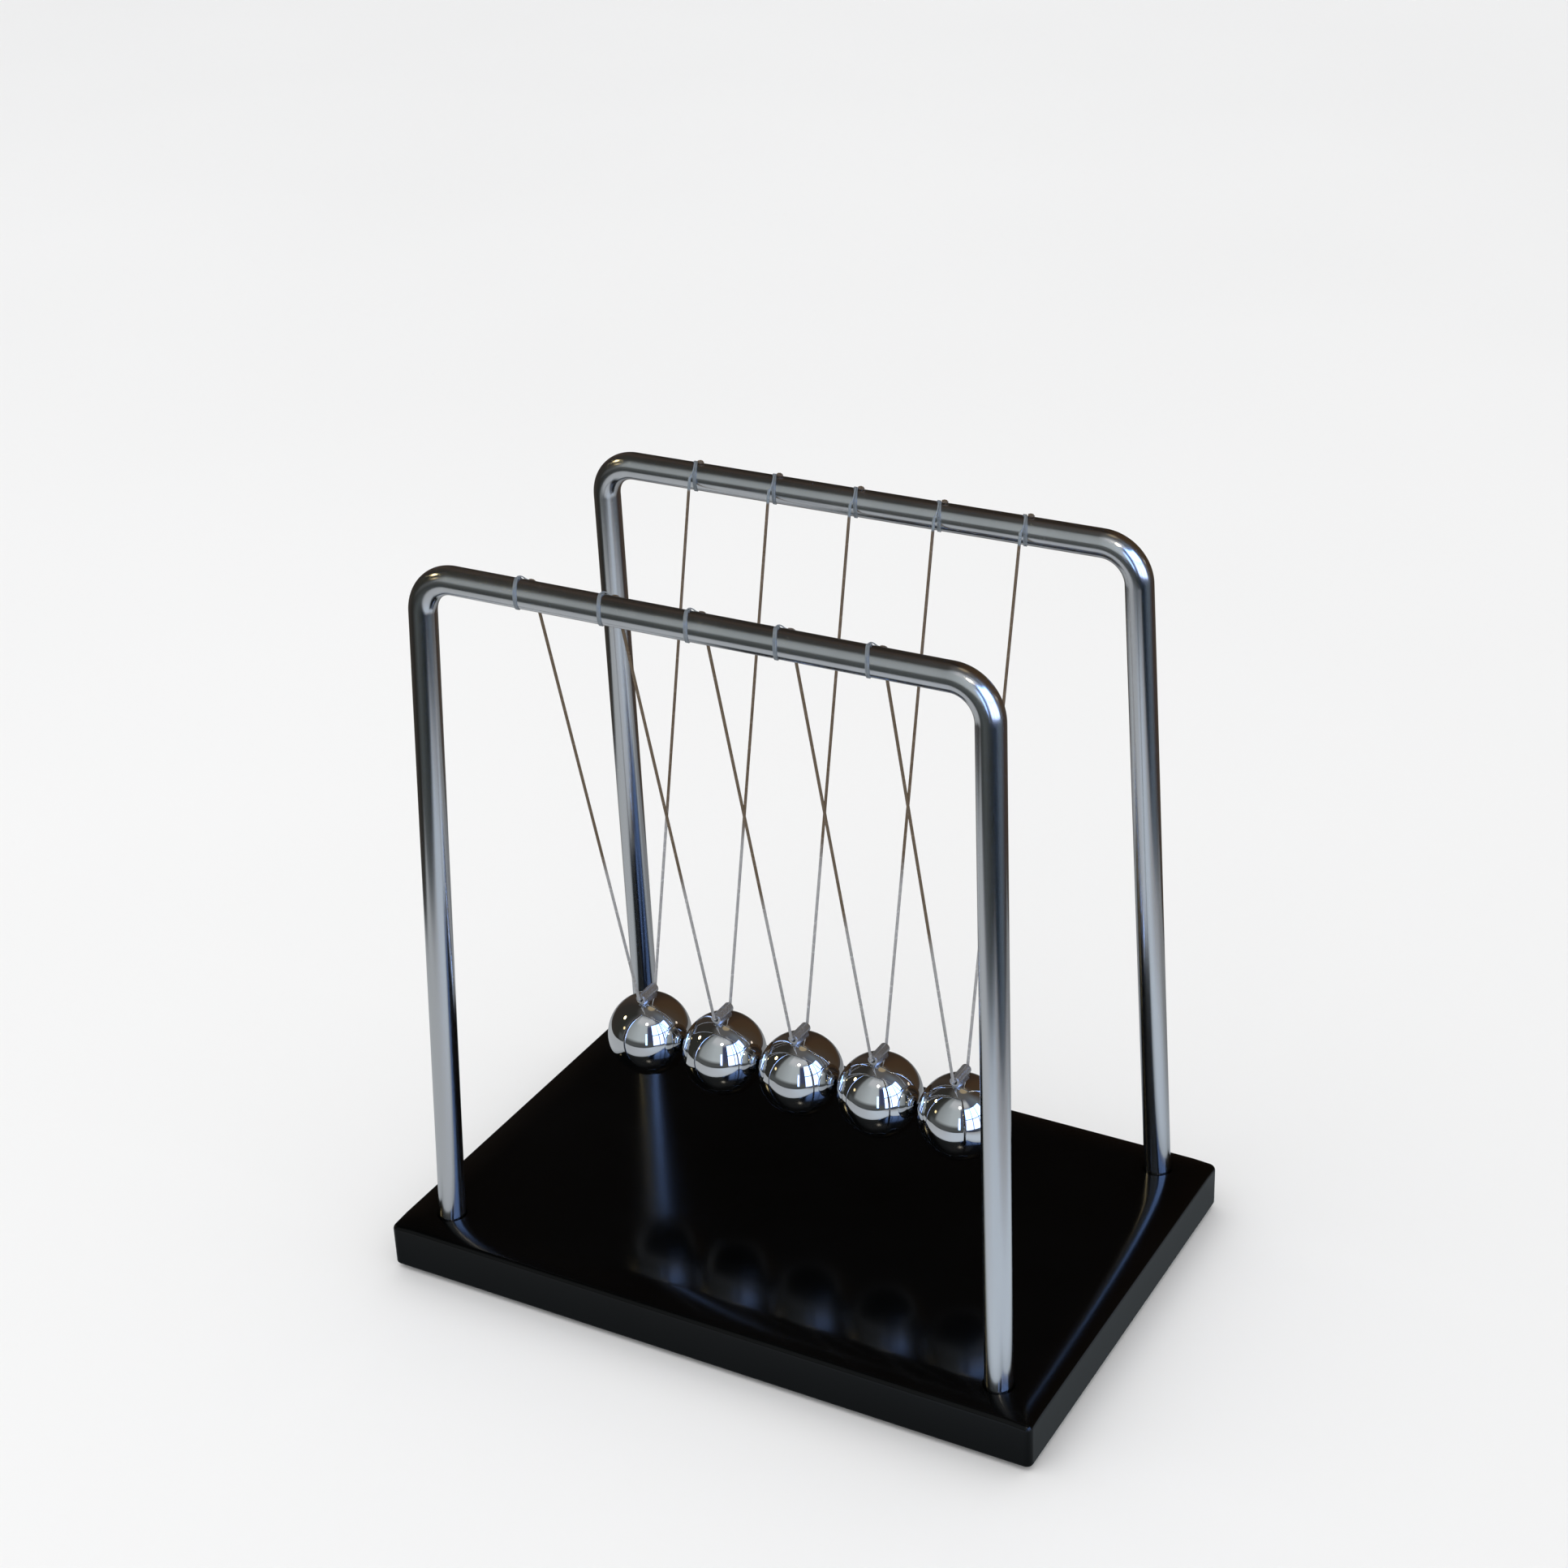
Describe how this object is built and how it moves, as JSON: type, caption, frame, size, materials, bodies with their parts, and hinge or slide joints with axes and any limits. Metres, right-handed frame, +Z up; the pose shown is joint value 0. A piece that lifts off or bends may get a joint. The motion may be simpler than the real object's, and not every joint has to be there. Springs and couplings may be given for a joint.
{
  "type": "newtons cradle",
  "caption": "Desk pendulum toy: a row of polished steel balls hung on V-shaped nylon lines from two bent chrome rod frames on a glossy black board.",
  "frame": {"origin": "middle of the board's footprint, on the surface the pads stand on", "axes": "+X along the row of balls, +Y from the front frame towards the rear frame, +Z up"},
  "size_m": [0.157, 0.102, 0.1695],
  "materials": {
    "board_lacquer": "black high-gloss lacquer over fibreboard",
    "pad_rubber": "matte",
    "rod_chrome": "polished",
    "ball_chrome": "mirror polished",
    "tube_steel": "satin",
    "screw_steel": "zinc plated",
    "nylon_line": "clear monofilament",
    "nylon_tie": "clear monofilament, wound"
  },
  "bodies": {
    "stand": {"base_board": "board_lacquer", "foot_pads": "pad_rubber", "front_frame": "rod_chrome", "rear_frame": "rod_chrome", "frame_screws": "screw_steel", "screw_washers": "screw_steel", "front_tie_1": "nylon_tie", "front_tie_2": "nylon_tie", "front_tie_3": "nylon_tie", "front_tie_4": "nylon_tie", "front_tie_5": "nylon_tie", "rear_tie_1": "nylon_tie", "rear_tie_2": "nylon_tie", "rear_tie_3": "nylon_tie", "rear_tie_4": "nylon_tie", "rear_tie_5": "nylon_tie"},
    "pendulum_1": {"ball_1": "ball_chrome", "hanger_tube_1": "tube_steel", "line_1": "nylon_line"},
    "pendulum_2": {"ball_2": "ball_chrome", "hanger_tube_2": "tube_steel", "line_2": "nylon_line"},
    "pendulum_3": {"ball_3": "ball_chrome", "hanger_tube_3": "tube_steel", "line_3": "nylon_line"},
    "pendulum_4": {"ball_4": "ball_chrome", "hanger_tube_4": "tube_steel", "line_4": "nylon_line"},
    "pendulum_5": {"ball_5": "ball_chrome", "hanger_tube_5": "tube_steel", "line_5": "nylon_line"}
  },
  "joints": [
    {"name": "ball_1_swing", "type": "hinge", "parent": "stand", "child": "pendulum_1", "pos_m": [-0.039, 0, 0.16647], "axis": [0, 1, 0], "range_deg": [-0.07, 60]},
    {"name": "ball_2_swing", "type": "hinge", "parent": "stand", "child": "pendulum_2", "pos_m": [-0.0195, 0, 0.16647], "axis": [0, 1, 0], "range_deg": [-0.07, 0.07]},
    {"name": "ball_3_swing", "type": "hinge", "parent": "stand", "child": "pendulum_3", "pos_m": [0, 0, 0.16647], "axis": [0, 1, 0], "range_deg": [-0.07, 0.07]},
    {"name": "ball_4_swing", "type": "hinge", "parent": "stand", "child": "pendulum_4", "pos_m": [0.0195, 0, 0.16647], "axis": [0, 1, 0], "range_deg": [-0.07, 0.07]},
    {"name": "ball_5_swing", "type": "hinge", "parent": "stand", "child": "pendulum_5", "pos_m": [0.039, 0, 0.16647], "axis": [0, -1, 0], "range_deg": [-0.07, 60]}
  ]
}
